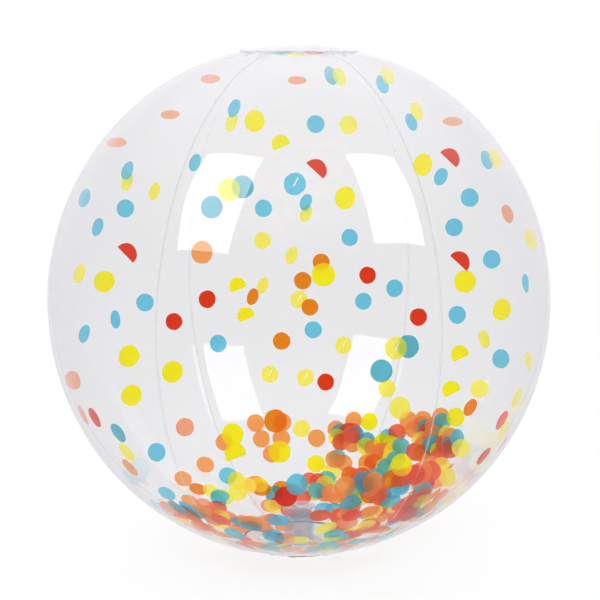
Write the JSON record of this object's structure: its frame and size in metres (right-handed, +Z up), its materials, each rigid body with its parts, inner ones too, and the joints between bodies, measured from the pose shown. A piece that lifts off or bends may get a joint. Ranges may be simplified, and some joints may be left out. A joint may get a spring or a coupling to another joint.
{
  "type": "inflatable beach ball",
  "caption": "Inflated clear film ball of lune-shaped panels with round polar caps, a push-in air valve at the bottom, and loose round confetti inside.",
  "frame": {"origin": "centre of the flat patch at the bottom of the inflated ball, on its polar axis, at floor level", "axes": "+Z up along the polar axis from the valve cap to the top cap; -Y is the middle of the front panel; +X is to the right seen from the front"},
  "size_m": [0.35, 0.349, 0.357],
  "materials": {
    "film": "clear glossy vinyl film",
    "valve_vinyl": "frosted clear moulded vinyl",
    "confetti_mixed": "heap of thin translucent film discs, mixed colours",
    "confetti_yellow": "translucent film",
    "confetti_blue": "translucent film",
    "confetti_red": "translucent film",
    "confetti_orange": "translucent film",
    "confetti_salmon": "translucent film"
  },
  "bodies": {
    "ball": {"gore_back": "film", "gore_back_left": "film", "gore_back_right": "film", "gore_front": "film", "gore_front_left": "film", "gore_front_right": "film", "top_cap": "film", "bottom_cap": "film", "valve_flange": "valve_vinyl", "confetti_blue_01": "confetti_blue", "confetti_blue_02": "confetti_blue", "confetti_blue_03": "confetti_blue", "confetti_blue_04": "confetti_blue", "confetti_blue_05": "confetti_blue", "confetti_blue_06": "confetti_blue", "confetti_blue_07": "confetti_blue", "confetti_blue_08": "confetti_blue", "confetti_blue_09": "confetti_blue", "confetti_blue_10": "confetti_blue", "confetti_blue_11": "confetti_blue", "confetti_blue_12": "confetti_blue", "confetti_blue_13": "confetti_blue", "confetti_blue_14": "confetti_blue", "confetti_blue_15": "confetti_blue", "confetti_orange_01": "confetti_orange", "confetti_orange_02": "confetti_orange", "confetti_orange_03": "confetti_orange", "confetti_orange_04": "confetti_orange", "confetti_red_01": "confetti_red", "confetti_red_02": "confetti_red", "confetti_red_03": "confetti_red", "confetti_red_04": "confetti_red", "confetti_salmon_01": "confetti_salmon", "confetti_salmon_02": "confetti_salmon", "confetti_salmon_03": "confetti_salmon", "confetti_salmon_04": "confetti_salmon", "confetti_salmon_05": "confetti_salmon", "confetti_yellow_01": "confetti_yellow", "confetti_yellow_02": "confetti_yellow", "confetti_yellow_03": "confetti_yellow", "confetti_yellow_04": "confetti_yellow", "confetti_yellow_05": "confetti_yellow", "confetti_yellow_06": "confetti_yellow", "confetti_yellow_07": "confetti_yellow", "confetti_yellow_08": "confetti_yellow", "confetti_yellow_09": "confetti_yellow", "confetti_yellow_10": "confetti_yellow", "confetti_yellow_11": "confetti_yellow", "confetti_yellow_12": "confetti_yellow", "confetti_yellow_13": "confetti_yellow", "confetti_yellow_14": "confetti_yellow", "confetti_yellow_15": "confetti_yellow", "confetti_yellow_16": "confetti_yellow", "confetti_yellow_17": "confetti_yellow"},
    "stem": {"valve_stem": "valve_vinyl", "valve_tether": "valve_vinyl"},
    "plug": {"valve_plug": "valve_vinyl"},
    "flap": {"valve_flap": "valve_vinyl"},
    "loose_confetti": {"confetti_heap": "confetti_mixed"}
  },
  "joints": [
    {"name": "stem_pull", "type": "slide", "parent": "ball", "child": "stem", "axis": [0, 0, -1], "range_m": [0, 0.02]},
    {"name": "plug_pull", "type": "slide", "parent": "stem", "child": "plug", "axis": [0, 0, -1], "range_m": [0, 0.009]},
    {"name": "flap_open", "type": "hinge", "parent": "stem", "child": "flap", "pos_m": [0, 0.0119, 0.0278], "axis": [1, 0, 0], "range_deg": [-75, 0], "stiffness_Nm_per_rad": 0.0005},
    {"name": "confetti_run", "type": "hinge", "parent": "ball", "child": "loose_confetti", "pos_m": [0, 0, 0], "axis": [0, 0, 1], "continuous": true}
  ]
}
